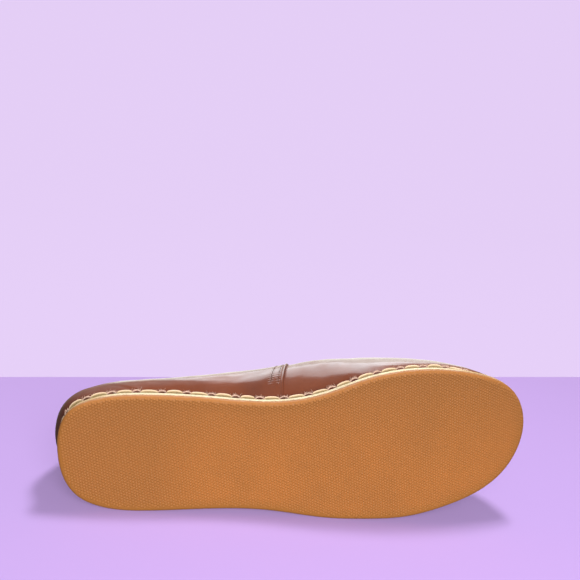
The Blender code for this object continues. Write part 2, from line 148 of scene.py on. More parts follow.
NORMAL_STEP = 0.002
NORMAL_SPREAD = 0.05
NORMAL_READINGS = 9

# The folded edge at each side seam: how high the wall stands at a distance behind the edge
SEAM_PROFILE = (
    # behind the edge, height
    (-0.00030, 0.00000),
    (-0.00012, 0.00010),
    (0.00000, 0.00070),
    (0.00015, 0.00108),
    (0.00035, 0.00124),
    (0.00060, 0.00130),
    (0.00090, 0.00126),
    (0.00120, 0.00114),
    (0.00150, 0.00100),
    (0.00185, 0.00088),
    (0.00230, 0.00084),
    (0.00300, 0.00090),
    (0.00400, 0.00100),
)

# Soft troughs and ridges in the leather
CREASES = (
    # round, climb, length round, length up, lean, depth
    (0.088, 0.22, 0.010, 0.030, 9.0, -0.00060),
    (0.093, 0.15, 0.010, 0.028, 9.0, 0.00050),
    (0.070, 0.40, 0.030, 0.060, 0.0, 0.00020),
    (0.120, 0.30, 0.030, 0.060, 1.0, 0.00015),
    (0.160, 0.34, 0.024, 0.060, -1.5, 0.00020),
    (0.176, 0.40, 0.018, 0.050, 2.0, -0.00018),
    (0.205, 0.36, 0.022, 0.070, -2.0, 0.00022),
    (0.222, 0.28, 0.012, 0.050, 1.5, -0.00016),
    (0.262, 0.40, 0.024, 0.060, 1.0, 0.00022),
    (0.290, 0.34, 0.020, 0.050, -2.0, -0.00016),
    (0.330, 0.32, 0.030, 0.050, 1.0, 0.00022),
    (0.347, 0.16, 0.012, 0.030, 3.0, 0.00040),
    (0.410, 0.45, 0.060, 0.050, 0.0, 0.00025),
    (0.110, 0.50, 0.035, 0.160, 0.0, -0.00060),
    (0.215, 0.20, 0.032, 0.140, 0.0, -0.00100),
    (0.290, 0.10, 0.030, 0.080, 0.0, -0.00040),
    (0.500, 0.50, 0.070, 0.050, 0.0, 0.00025),
    (0.590, 0.46, 0.060, 0.050, 0.0, 0.00025),
    (0.700, 0.40, 0.050, 0.070, 1.0, 0.00022),
    (0.800, 0.36, 0.050, 0.060, -1.0, 0.00018),
    (0.900, 0.42, 0.040, 0.060, 0.0, 0.00022),
)

# The camera, fitted to the sole's outline
CAMERA_PLACE = (0.08326, -0.19245, -0.40149)
CAMERA_AHEAD = (0.12023, 0.23128, 0.96543)
CAMERA_RIGHT = (0.99252, -0.00710, -0.12190)
CAMERA_FOCAL = 740.0
FRAME_PIXELS = 580
SENSOR_WIDTH = 36.0
PAPER_EDGE_ROW = 377

LIGHTS = (
    # name, place, aim, size, power, colour, shines on matte surfaces, shines on glossy ones
    ("low_card", (0.25, 0.80, 0), (0.25, 0, 0), (1.7, 0.70), 4.5, (1, 0.99, 0.90), False, True),
    ("high_softbox", (-0.06, 0.72, 0.74), (0, 0, 0.06), (1.3, 0.86), 12.5, (0.93, 1, 1.05), False,
     True),
    ("key_softbox", (0.18, 0.14, 1.20), (0, 0, 0.03), (0.20, 0.20), 10.4, (1, 1, 1), True, False),
    ("front_softbox", (-0.02, -1.05, 0.62), (0, 0, 0.05), (0.8, 0.6), 13.0, (1, 1, 1), True, True),
)


# ---------------------------------------------------------------- the shoe's frame and curves


def shoe_axes():
    """The shoe's own axes and origin in the world, from the two flat spots under its sole."""
    mounts = {mount["name"]: mount for mount in frame["record"]["mounts"]}
    heel = np.array(mounts["heel_flat"]["pos_m"], float)
    fore = np.array(mounts["forefoot_flat"]["pos_m"], float)
    up = -np.array(mounts["heel_flat"]["axis"], float)
    up /= np.linalg.norm(up)
    ahead = fore - heel
    ahead -= up * ahead.dot(up)
    ahead /= np.linalg.norm(ahead)
    axes = np.array([ahead, np.cross(up, ahead), up])
    return axes, heel - ahead * HEEL_MOUNT_ALONG


AXES, ORIGIN = shoe_axes()


def to_world(points):
    """Points of the shoe's own frame in the world."""
    return ORIGIN + np.asarray(points, float) @ AXES


def periodic_spline(knots, values, period):
    """Closed cubic curve through the values, as a function that takes any place on it."""
    knots = np.asarray(knots, float)
    values = np.asarray(values, float)
    count = len(knots)
    spans = np.diff(np.append(knots, knots[0] + period))
    slopes = (np.roll(values, -1, axis=0) - values) / spans[:, None]
    system = np.zeros((count, count))
    for i in range(count):
        system[i, i - 1] += spans[i - 1]
        system[i, i] += 2 * (spans[i - 1] + spans[i])
        system[i, (i + 1) % count] += spans[i]
    bends = np.linalg.solve(system, 6 * (slopes - np.roll(slopes, 1, axis=0)))

    def curve(places):
        places = np.mod(np.asarray(places, float) - knots[0], period) + knots[0]
        left = np.clip(np.searchsorted(knots, places, side="right") - 1, 0, count - 1)
        right = (left + 1) % count
        span = spans[left][:, None]
        ahead = (places - knots[left])[:, None]
        behind = span - ahead
        straight = (values[left] * behind + values[right] * ahead) / span
        bow_left = bends[left] * (behind**3 / span - span * behind) / 6
        bow_right = bends[right] * (ahead**3 / span - span * ahead) / 6
        return straight + bow_left + bow_right

    return curve


def smooth_loop(points):
    """Closed curve through the points, read by the share of the way round from the first one."""
    points = np.asarray(points, float)
    chords = np.linalg.norm(np.roll(points, -1, axis=0) - points, axis=1)
    curve = periodic_spline(np.append(0, np.cumsum(chords)[:-1]), points, chords.sum())
    dense = curve(np.linspace(0, chords.sum(), LOOP_SAMPLES, endpoint=False))
    dense = np.vstack([dense, dense[:1]])
    walked = np.append(0, np.cumsum(np.linalg.norm(np.diff(dense, axis=0), axis=1)))

    def loop(shares):
        places = np.mod(np.asarray(shares, float), 1.0) * walked[-1]
        return np.stack([np.interp(places, walked, column) for column in dense.T], axis=-1)

    loop.length = walked[-1]
    return loop


def outline_loop():
    """The outsole's outline in the ground plane, from the heel's back round by the inner side."""
    inner = [(a * SOLE_LENGTH, -i * BALL_WIDTH) for a, i, _ in OUTLINE_SECTIONS]
    outer = [(a * SOLE_LENGTH, o * BALL_WIDTH) for a, _, o in OUTLINE_SECTIONS]
    back = [(0.0, HEEL_BACK_ACROSS * BALL_WIDTH)]
    tip = [(SOLE_LENGTH, TOE_TIP_ACROSS * BALL_WIDTH)]
    return smooth_loop(back + inner + tip + outer[::-1])


def collar_loop():
    """The collar's edge, from the heel's back round by the inner side."""
    rows = [(a * SOLE_LENGTH, i, o, h * INSTEP_HEIGHT) for a, i, o, h in COLLAR_SECTIONS]
    inner = [(along, -inside * BALL_WIDTH, height) for along, inside, _, height in rows]
    outer = [(along, outside * BALL_WIDTH, height) for along, _, outside, height in rows]
    back = [(COLLAR_BACK_ALONG * SOLE_LENGTH, 0.0, HEEL_HEIGHT)]
    throat = [(COLLAR_THROAT_ALONG * SOLE_LENGTH, 0.0, INSTEP_HEIGHT)]
    return smooth_loop(back + inner + throat + outer[::-1])


OUTLINE = outline_loop()
COLLAR = collar_loop()
STITCHES = round(OUTLINE.length / STITCH_PITCH)
WALL_TABLE = np.array(WALL_CURVES)
WALL_SPLINE = periodic_spline(WALL_TABLE[:, 0], WALL_TABLE[:, [1, 2, 3, 4, 6, 7, 8]], 1.0)


def outline_normals(shares):
    """Outward directions of the outline in the ground plane."""
    shares = np.asarray(shares, float)
    along = OUTLINE(shares + NORMAL_STEP) - OUTLINE(shares - NORMAL_STEP)
    along /= np.linalg.norm(along, axis=1)[:, None]
    return np.stack([along[:, 1], -along[:, 0]], axis=-1)


def outward_directions(shares):
    """Outward directions of the outline, evened out along it."""
    spread = np.linspace(-NORMAL_SPREAD, NORMAL_SPREAD, NORMAL_READINGS)
    mean = sum(outline_normals(np.asarray(shares) + shift) for shift in spread)
    return mean / np.linalg.norm(mean, axis=1)[:, None]


def bend(along):
    """Height of the outsole's bottom above the ground at a distance from the heel's back."""
    along = np.asarray(along, float)
    heel = np.clip((HEEL_FLAT[0] - along) / HEEL_FLAT[0], 0, None)
    waist = np.clip((along - HEEL_FLAT[1]) / (FOREFOOT_FLAT[0] - HEEL_FLAT[1]), 0, 1)
    toe = np.clip((along - FOREFOOT_FLAT[1]) / (SOLE_LENGTH - FOREFOOT_FLAT[1]), 0, None)
    return HEEL_ROUNDING * heel**2 + ARCH_RISE * np.sin(math.pi * waist) ** 2 + TOE_SPRING * toe**2


def rim_points(shares, inset, height):
    """Points at an inset from the sole's outline and a height over its bent bottom."""
    flat = OUTLINE(shares) - outline_normals(shares) * np.reshape(inset, (-1, 1))
    return np.column_stack([flat, bend(flat[:, 0]) + height])


def seam_share(side):
    """Share of the way round the outline where the side seam starts, on side -1 or +1."""
    shares = np.linspace(0.0, 0.5, LOOP_SAMPLES)
    if side > 0:
        shares = 1.0 - shares
    return float(shares[np.argmax(OUTLINE(shares)[:, 0] > SEAM_ALONG)])


INNER_SEAM = seam_share(-1)
OUTER_SEAM = seam_share(1)


def slanted(shares, climb):
    """Shares of the way round at a climb: near a side seam they move forward, as the seam leans."""
    for seam, forward in ((INNER_SEAM, 1), (OUTER_SEAM, -1)):
        away = np.abs(np.mod(shares - seam + 0.5, 1.0) - 0.5)
        near = np.clip(1 - away / SEAM_SPREAD, 0, 1)
        shares = shares + forward * SEAM_LEAN * climb * near
    return shares


def wall_points(shares, climbs):
    """Points of the upper's outer surface: shares go round, climbs run from sole 0 to collar 1."""
    shares = np.asarray(shares, float)
    inset, rise, lean, bulge, reach, fullness, drop = WALL_SPLINE(shares).T[..., None]
    foot = rim_points(shares, inset, UPPER_LEVEL)
    ends = np.append(WALL_TABLE[:, 5], 1.0)
    top = COLLAR(np.interp(np.mod(shares, 1.0), np.append(WALL_TABLE[:, 0], 1.0), ends))
    outward = np.column_stack([outward_directions(shares), np.zeros(len(foot))])
    across = (top - foot) * (1, 1, 0)
    up = np.array([0, 0, 1.0])
    lower = foot + across * lean + outward * bulge + up * rise
    upper = top - across * reach + outward * fullness - up * drop
    t = np.asarray(climbs, float)[:, None]
    start = foot * (1 - t) ** 3 + lower * 3 * t * (1 - t) ** 2
    return start + upper * 3 * t**2 * (1 - t) + top * t**3


def wall_normals(shares, climbs):
    """Outward directions of the upper's surface."""
    low = np.clip(climbs - NORMAL_STEP, 0, 1)
    high = np.clip(climbs + NORMAL_STEP, 0, 1)
    up = wall_points(shares, high) - wall_points(shares, low)
    before, after = shares - NORMAL_STEP, shares + NORMAL_STEP
    normals = np.cross(wall_points(after, climbs) - wall_points(before, climbs), up)
    return normals / np.linalg.norm(normals, axis=1)[:, None]


# ---------------------------------------------------------------- settings


def length(name, description, default):
    """A length setting."""
    return bpy.props.FloatProperty(
        name=name, description=description, default=default, min=0.0, precision=5, unit="LENGTH"
    )


def colour(name, description, default):
    """A linear colour setting."""
    return bpy.props.FloatVectorProperty(
        name=name, description=description, default=default, size=3, min=0.0, max=1.0,
        subtype="COLOR",
    )


class ShoeSizes(bpy.types.PropertyGroup):
    """Sizes of what is added to the solids."""

    tread_spacing: length("Tread spacing", "Distance between neighbouring studs", 0.00180)
    tread_height: length("Tread height", "How far a stud stands out of the sole", 0.00038)
    tread_rim: length("Plain rim", "Width of the sole's edge without studs", 0.0026)
    tread_turn: bpy.props.FloatProperty(
        name="Tread turn", description="Turn of the rows of studs", default=math.radians(-4.0),
        subtype="ANGLE",
    )
    rim_fade: length("Rim fade", "Width over which the rim's colour fades inwards", 0.0065)
    pillow_height: length("Pillow height", "Height of the welt's lip between stitches", 0.0032)
    hole_height: length("Hole height", "Height of the welt under a stitch", 0.0009)
    hole_length: length("Hole length", "Length of the pinched place at a stitch", 0.0044)
    lip_radius: length("Lip radius", "Half the thickness of the welt's rolled lip", 0.00046)
    overhang: length("Overhang", "How far a pillow stands out past the sole", 0.0009)
    cord_radius: length("Cord radius", "Half the thickness of the sewing cord", 0.00050)
    fibre_length: length("Fibre length", "Length of the loose fibres at a stitch", 0.0026)
    fibre_radius: length("Fibre radius", "Half the thickness of a loose fibre", 0.00019)
    pinhole_pitch: length("Pinhole pitch", "Distance between stitches of the seam", 0.00200)
    pinhole_radius: length("Pinhole radius", "Half the width of a pinhole", 0.00030)
    thread_radius: length("Thread radius", "Half the thickness of the seam's thread", 0.00020)
    near_row: length("Near row", "First row of stitches, behind the seam's edge", 0.0035)
    far_row: length("Far row", "Second row of stitches, behind the seam's edge", 0.0083)


class ShoeColours(bpy.types.PropertyGroup):
    """Linear colours of the finishes."""

    leather: colour("Leather", "Polished upper", (0.178, 0.042, 0.014))
    # Dark leather: darker clouds, heel and edges, and the painted shadow at each seam's folded edge
    leather_dark: colour("Dark leather", "Burnished upper", (0.070, 0.021, 0.016))
    gum: colour("Gum", "Gum rubber", (0.575, 0.203, 0.046))
    # Brown gum: darker patches, and the painted shade at the heel, along the inner edge and at the
    # studs' feet
    gum_brown: colour("Brown gum", "Darker patches of the gum rubber", (0.375, 0.145, 0.038))
    gum_rim: colour("Gum rim", "Smooth edge of the gum rubber", (0.480, 0.178, 0.037))
    # Painted highlight on the studs' tips
    gum_tip: colour("Gum tip", "Worn tips of the studs", (0.680, 0.280, 0.075))
    cream: colour("Cream edge", "Cut edge of natural leather", (0.950, 0.800, 0.540))
    lip: colour("Lip", "Rolled edge of a pillow", (0.840, 0.620, 0.410))
    gold: colour("Gold edge", "Browned parts of the cut edge", (0.500, 0.290, 0.100))
    # Olive: darker fibres of the cut edge, and the painted shade inside each pillow under its lip
    olive: colour("Olive edge", "Inner part of a pillow", (0.330, 0.230, 0.095))
    shade: colour("Hole", "Bottom of a stitch hole", (0.030, 0.020, 0.012))
    fibre: colour("Fibre", "Loose fibres", (0.720, 0.470, 0.360))
    thread: colour("Thread", "Thread of the side seam", (0.150, 0.055, 0.032))
    board: colour("Insole", "Insole board", (0.460, 0.250, 0.110))
    floor_paper: colour("Floor paper", "Sheet that the shoe lies on", (0.630, 0.430, 0.880))
    studio_sweep: colour("Backdrop", "Floor and sweep behind", (0.770, 0.612, 0.912))


def sizes():
    """The scene's size settings."""
    return bpy.context.scene.shoe_sizes


def tone(name, share=1.0):
    """A colour of the settings, darkened to a share of itself."""
    return tuple(share * part for part in getattr(bpy.context.scene.shoe_colours, name))


# ---------------------------------------------------------------- materials


class Finish:
    """A Principled material whose nodes are added one by one. Colours may be given by name."""

    def __init__(self, name, roughness, specular=0.3, coat=0.0, coat_roughness=0.1):
        self.material = bpy.data.materials.new(name)
        self.material.use_nodes = True
        self.tree = self.material.node_tree
        self.shader = self.tree.nodes["Principled BSDF"].inputs
        self.shader["Roughness"].default_value = roughness
        self.shader["Specular IOR Level"].default_value = specular
        self.shader["Coat Weight"].default_value = coat
        self.shader["Coat Roughness"].default_value = coat_roughness
        self.place = self.node("ShaderNodeTexCoord").outputs["Object"]

    def fill(self, socket, value):
        """Sets an input, or links it to the output of another node."""
        if isinstance(value, bpy.types.NodeSocket):
            self.tree.links.new(value, socket)
        else:
            socket.default_value = value

    def node(self, kind, inputs=(), **settings):
        """A node with its settings, and its inputs set or linked."""
        made = self.tree.nodes.new(kind)
        for key, value in settings.items():
            setattr(made, key, value)
        for key, value in dict(inputs).items():
            self.fill(made.inputs[key], value)
        return made

    def speckle(self, scale, detail=2.0, roughness=0.5, place=None):
        """Cloudy noise, as a number."""
        inputs = {"Vector": place or self.place, "Scale": scale, "Detail": detail}
        inputs["Roughness"] = roughness
        return self.node("ShaderNodeTexNoise", inputs).outputs["Fac"]

    def span(self, value, low, high, start=0.0, end=1.0):
        """The value taken from one range to another, and held inside it."""
        inputs = {"Value": value, "From Min": low, "From Max": high, "To Min": start, "To Max": end}
        return self.node("ShaderNodeMapRange", inputs).outputs["Result"]

    def reckon(self, operation, first, second=0.0):
        """A sum of one or two numbers."""
        return self.node("ShaderNodeMath", {0: first, 1: second}, operation=operation).outputs[0]

    def mix(self, share, first, second):
        """Two colours mixed by a share."""
        made = self.node("ShaderNodeMix", {0: share}, data_type="RGBA")
        for index, value in ((6, first), (7, second)):
            value = tone(value) if isinstance(value, str) else value
            self.fill(made.inputs[index], (*value, 1.0) if isinstance(value, tuple) else value)
        return made.outputs[2]

    def tint(self, base, colour_name, value, low, high, most):
        """A base that takes on a colour, up to the most, as the value goes from low to high."""
        return self.mix(self.span(value, low, high, 0.0, most), base, colour_name)

    def attribute(self, name):
        """A number kept on the mesh's points."""
        return self.node("ShaderNodeAttribute", attribute_name=name).outputs["Fac"]

    def bump(self, height, distance, strength=1.0, under=None):
        """Relief of the given depth, over another relief if there is one."""
        inputs = {"Height": height, "Distance": distance, "Strength": strength}
        if under is not None:
            inputs["Normal"] = under
        return self.node("ShaderNodeBump", inputs).outputs["Normal"]

    def wear(self, values):
        """Links the finished values to the shader's inputs."""
        for key, value in values.items():
            self.fill(self.shader[key], value)
        return self.material


def polished_leather():
    """Smooth red-brown leather: darker clouds, a darker heel and edges, painted shadow at each
    seam's folded edge, pores, stitch puckers and a wax coat.
    """
    s = sizes()
    finish = Finish("polished_leather", 0.38, coat=0.8, coat_roughness=0.15)
    dark = finish.span(finish.speckle(26.0, 3.0), 0.45, 0.72, 0.0, 0.45)
    # Darker share: random clouds, and the numbers kept on the upper's points, with painted shadow
    # at each seam's folded edge
    dark_share = finish.reckon("MAXIMUM", dark, finish.attribute("burnish"))
    base = finish.mix(dark_share, "leather", "leather_dark")
    base = finish.tint(base, "leather_dark", finish.speckle(900.0), 0.5, 0.75, 0.22)
    pores = finish.node("ShaderNodeTexVoronoi", {"Vector": finish.place, "Scale": 1500.0})
    pitted = finish.bump(finish.span(pores.outputs["Distance"], 0.0, 0.5), 0.00003, 0.5)
    folds = finish.bump(finish.speckle(240.0, 4.0, 0.6), 0.00020, 0.5, pitted)
    waves = finish.bump(finish.speckle(70.0), 0.00070, 0.5, folds)
    turn = finish.reckon("MULTIPLY", finish.attribute("along"), 2 * math.pi / s.pinhole_pitch)
    rows = 0.0
    for row in (s.near_row, s.far_row):
        away = finish.reckon("SUBTRACT", finish.attribute("behind"), row)
        close = finish.span(finish.reckon("ABSOLUTE", away), 0.0004, 0.0022, 1.0, 0.0)
        rows = finish.reckon("MAXIMUM", rows, close)
    sewn = finish.reckon("MULTIPLY", rows, finish.attribute("sewn"))
    ripple = finish.reckon("MULTIPLY", finish.reckon("SINE", turn), sewn)
    dull = finish.attribute("dull")
    rough = finish.span(finish.speckle(150.0, 3.0), 0.3, 0.7, 0.32, 0.48)
    rough = finish.reckon("ADD", rough, finish.span(dull, 0.0, 1.0, 0.0, 0.3))
    values = {"Base Color": base, "Roughness": rough}
    values["Coat Weight"] = finish.span(dull, 0.0, 1.0, 0.8, 0.04)
    values["Normal"] = finish.bump(ripple, 0.00030, 1.0, waves)
    return finish.wear(values)


def gum_rubber():
    """Matte gum rubber: painted shade makes it browner towards the inner edge and the heel; a
    yellower smooth rim; painted shade at the studs' feet and a painted highlight on their tips.
    """
    finish = Finish("gum_rubber", 0.55, specular=0.35)
    place = finish.node("ShaderNodeSeparateXYZ", {"Vector": finish.place}).outputs
    tip = finish.attribute("tip")
    fine = finish.speckle(1400.0, 3.0)
    # Painted shade: browner towards the heel
    heel = finish.span(place["X"], -0.050, -0.085, 0.0, 0.5)
    patches = finish.span(finish.speckle(24.0, 3.0, 0.6), 0.42, 0.72, 0.0, 0.35)
    base = finish.mix(finish.reckon("MAXIMUM", heel, patches), "gum", "gum_brown")
    base = finish.mix(finish.attribute("rim"), base, "gum_rim")
    # Painted shade: browner higher up, towards the inner edge
    base = finish.tint(base, "gum_brown", place["Z"], 0.030, 0.095, 0.8)
    # Painted shade at the studs' feet
    base = finish.mix(finish.span(tip, 0.0, 0.5, 0.30, 0.0), base, "gum_brown")
    # Painted highlight on the studs' tips
    base = finish.tint(base, "gum_tip", tip, 0.5, 1.0, 0.2)
    base = finish.tint(base, "gum_brown", fine, 0.45, 0.75, 0.18)
    rough = finish.span(finish.speckle(300.0), 0.3, 0.7, 0.48, 0.66)
    grain = finish.bump(fine, 0.00005, 0.6)
    return finish.wear({"Base Color": base, "Roughness": rough, "Normal": grain})


def cut_leather():
    """Natural leather cut across: layered fibres, rasp marks and browner ends."""
    finish = Finish("cut_leather", 0.72)
    along = finish.node("ShaderNodeSeparateXYZ", {"Vector": finish.place}).outputs["X"]
    stretch = {"Vector": finish.place, "Scale": (900.0, 2600.0, 900.0)}
    stretched = finish.node("ShaderNodeMapping", stretch).outputs["Vector"]
    fibres = finish.speckle(1.0, 3.0, 0.6, stretched)
    base = finish.tint("cream", "olive", fibres, 0.44, 0.66, 0.6)
    base = finish.tint(base, "olive", finish.speckle(160.0), 0.55, 0.75, 0.35)
    heel = finish.span(along, -0.106, -0.122, 0.0, 0.7)
    toe = finish.span(along, 0.080, 0.104, 0.0, 0.9)
    base = finish.mix(finish.reckon("MAXIMUM", heel, toe), base, "gold")
    return finish.wear({"Base Color": base, "Normal": finish.bump(fibres, 0.00018, 0.8)})


def welt_leather():
    """The welt: pale edge on each pillow, olive painted shade inside it and painted shade in the
    dark stitch holes.
    """
    finish = Finish("welt_leather", 0.70)
    fibres = finish.speckle(1100.0, 4.0, 0.65)
    # Painted shade inside the pillow, under its lip, with darker flecks
    olive = finish.tint("olive", "shade", fibres, 0.45, 0.80, 0.8)
    pale = finish.tint("lip", "fibre", fibres, 0.50, 0.80, 0.4)
    base = finish.mix(finish.attribute("lip"), olive, pale)
    # Painted shade in the stitch holes
    base = finish.mix(finish.attribute("hole"), base, "shade")
    return finish.wear({"Base Color": base, "Normal": finish.bump(fibres, 0.00016, 0.8)})


def insole_leather():
    """Smooth tan board with faint scuffs."""
    finish = Finish("insole_leather", 0.60, specular=0.4)
    base = finish.tint("board", "leather", finish.speckle(45.0, 4.0, 0.6), 0.35, 0.75, 0.45)
    grain = finish.bump(finish.speckle(1200.0, 3.0), 0.00006, 0.7)
    return finish.wear({"Base Color": base, "Normal": grain})


def thread_finish(name, colour_name, twist, roughness):
    """Twisted thread of one colour."""
    finish = Finish(name, roughness)
    plies = finish.speckle(twist)
    base = finish.tint(colour_name, tone(colour_name, 0.35), plies, 0.35, 0.70, 0.6)
    return finish.wear({"Base Color": base, "Normal": finish.bump(plies, 0.00015, 0.8)})


def stage_paint(name, lit, glow):
    """Plain matte paint for the floor and the sweep, partly shining by itself."""
    finish = Finish(name, 0.9, specular=0.0)
    faint = finish.span(finish.speckle(2.0), 0.3, 0.7, 0.0, 0.03)
    base = finish.mix(faint, tone(name, lit), tone(name, lit * 0.9))
    shine = finish.mix(faint, name, tone(name, 0.9))
    return finish.wear({"Base Color": base, "Emission Color": shine, "Emission Strength": glow})


# ---------------------------------------------------------------- making meshes


def deselect():
    """Nothing selected, and object mode."""
    if bpy.context.object and bpy.context.object.mode != "OBJECT":
        bpy.ops.object.mode_set(mode="OBJECT")
    bpy.ops.object.select_all(action="DESELECT")


def pick(piece):
    """Only the piece is selected, and it is active."""
    deselect()
    piece.select_set(True)
    bpy.context.view_layer.objects.active = piece


def in_edit_mode(piece, *steps):
    """Runs operators on all of the piece in edit mode."""
    pick(piece)
    bpy.ops.object.mode_set(mode="EDIT")
    bpy.ops.mesh.select_all(action="SELECT")
    for step, settings in steps:
        step(**settings)
    bpy.ops.object.mode_set(mode="OBJECT")


def new_object(name, data):
    """An object in the scene that holds the data."""
    made = bpy.data.objects.new(name, data)
    bpy.context.scene.collection.objects.link(made)
    return made


def new_piece(name, vertices, faces, numbers=()):
    """A mesh object in the world from points of the shoe's frame, none below the floor."""
    mesh = bpy.data.meshes.new(name)
    places = to_world(vertices)
    places[:, 2] = np.maximum(places[:, 2], FLOOR_CLEARANCE)
    mesh.from_pydata(places.tolist(), [], [list(map(int, face)) for face in faces])
    for key, values in dict(numbers).items():
        mesh.attributes.new(key, "FLOAT", "POINT").data.foreach_set("value", np.ravel(values))
    return new_object(name, mesh)


def copy_of_node(node, name):
    """A merged copy of a solid's mesh, for a finer finish."""
    piece = new_object(name, frame["nodes"][node].data.copy())
    merge = (bpy.ops.mesh.remove_doubles, {"threshold": 0.00002})
    flat = (bpy.ops.mesh.dissolve_limited, {"angle_limit": math.radians(0.2)})
    in_edit_mode(piece, merge, flat)
    return piece


def dress(piece, material, smooth=35.0, replaced=()):
    """Material, slot, shading and body of a finished piece."""
    piece.data.materials.clear()
    piece.data.materials.append(material)
    pick(piece)
    bpy.ops.object.shade_smooth_by_angle(angle=math.radians(smooth))
    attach(piece, "root")
    if replaced:
        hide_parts(*replaced)


def finished(name, shape, material, smooth=60.0, numbers=(), replaced=()):
    """A closed piece from its points and faces, with the faces turned outwards, and dressed."""
    piece = new_piece(name, *shape, numbers)
    in_edit_mode(piece, (bpy.ops.mesh.normals_make_consistent, {"inside": False}))
    dress(piece, material, smooth, replaced)


def grid_faces(rows, columns, closed_rows):
    """Quads of a grid of rows that are closed round, and closed from last row to first if asked."""
    last = rows if closed_rows else rows - 1
    row = np.repeat(np.arange(last), columns)
    column = np.tile(np.arange(columns), last)
    here, above = row * columns, (row + 1) % rows * columns
    following = (column + 1) % columns
    return list(
        np.stack([here + column, here + following, above + following, above + column], axis=1)
    )


def repeated(shape_points, shape_faces, centres, frames):
    """One small shape copied to many places: frames hold its three axes at each place."""
    shape_points = np.asarray(shape_points, float)
    points = np.einsum("pi,nij->npj", shape_points, frames) + np.asarray(centres)[:, None, :]
    step = len(shape_points)
    faces = [
        [index + copy * step for index in face]
        for copy in range(len(centres))
        for face in shape_faces
    ]
    return points.reshape(-1, 3), faces


def small_shape(make):
    """Points and faces of a small shape modelled by an operator, and taken out of the scene."""
    deselect()
    make()
    piece = bpy.context.object
    points = np.array([vertex.co[:] for vertex in piece.data.vertices])
    faces = [list(polygon.vertices) for polygon in piece.data.polygons]
    bpy.data.objects.remove(piece)
    return points, faces


def unit(vectors):
    """The vectors, each made one long."""
    return vectors / np.linalg.norm(vectors, axis=-1, keepdims=True)


def tube(path, radii, sides):
    """Points and faces of a closed-ended tube along a path of the shoe's frame."""
    along = unit(np.gradient(path, axis=0))
    first = unit(np.cross(along, TUBE_GUIDE))
    second = np.cross(along, first)
    turns = np.linspace(0, 2 * math.pi, sides, endpoint=False)[None, :, None]
    ring = first[:, None] * np.cos(turns) + second[:, None] * np.sin(turns)
    points = path[:, None] + ring * np.reshape(radii, (-1, 1, 1))
    faces = grid_faces(len(path), sides, False) + [np.arange(sides)[::-1]]
    faces.append((len(path) - 1) * sides + np.arange(sides))
    return points.reshape(-1, 3), faces


def joined(parts):
    """Many small shapes as one list of points and one of faces."""
    points, faces, offset = [], [], 0
    for shape_points, shape_faces in parts:
        points.append(shape_points)
        faces += [[index + offset for index in face] for face in shape_faces]
        offset += len(shape_points)
    return np.vstack(points), faces


# ---------------------------------------------------------------- operators


class SHOE_OT_outsole(bpy.types.Operator):
    """The gum sole, with a smoothly rounded edge"""

    bl_idname = "shoe.outsole"
    bl_label = "Outsole"

    def execute(self, context):
        columns = SOLE_COLUMNS
        shares = np.arange(columns) / columns
        rows = [(inset, 0.0) for inset in SOLE_INSETS]
        for turn in np.linspace(0, math.pi / 2, 7):
            round_off = np.array([1 - math.sin(turn), 1 - math.cos(turn)])
            rows.append(tuple(OUTSOLE_ROUNDING * round_off))
        rows += [(0.0, OUTSOLE_THICKNESS - 0.0004), (0.0001, OUTSOLE_THICKNESS - 0.0001)]
        rows += [(0.0004, OUTSOLE_THICKNESS), (SOLE_INSETS[0], OUTSOLE_THICKNESS)]
        rings = [rim_points(shares, np.full(columns, inset), height) for inset, height in rows]
        faces = grid_faces(len(rows), columns, False)
        faces += ladder(columns, 0) + ladder(columns, (len(rows) - 1) * columns)
        rim = np.repeat([rim_share(inset) for inset, _ in rows], columns)
        numbers = {"rim": rim, "tip": np.full(len(rows) * columns, 0.5)}
        shape = (np.vstack(rings), faces)
        finished("gum_outsole", shape, gum_rubber(), 40.0, numbers, ("outsole",))
        return {"FINISHED"}


def rim_share(inset):
    """How much of the rim's colour there is at a distance from the outline."""
    return np.clip(1 - (np.asarray(inset) - 0.0015) / sizes().rim_fade, 0, 1)


def ladder(columns, first):
    """Faces that close a ring across, from its inner to its outer side."""
    half = columns // 2
    faces = [[first, first + 1, first + columns - 1]]
    faces += [
        [first + i, first + i + 1, first + columns - i - 1, first + columns - i]
        for i in range(1, half - 1)
    ]
    return faces + [[first + half - 1, first + half, first + half + 1]]


def distance_inside(points):
    """How far points of the ground plane lie inside the outline, and its outward directions."""
    places = np.linspace(0, 1, 900, endpoint=False)
    ring, out = OUTLINE(places), outline_normals(places)
    found, outward = [], []
    for spots in np.array_split(points, 40):
        away = spots[:, None] - ring[None]
        nearest = np.argmin((away**2).sum(axis=2), axis=1)
        found.append(-(away[np.arange(len(spots)), nearest] * out[nearest]).sum(axis=1))
        outward.append(out[nearest])
    return np.concatenate(found), np.vstack(outward)


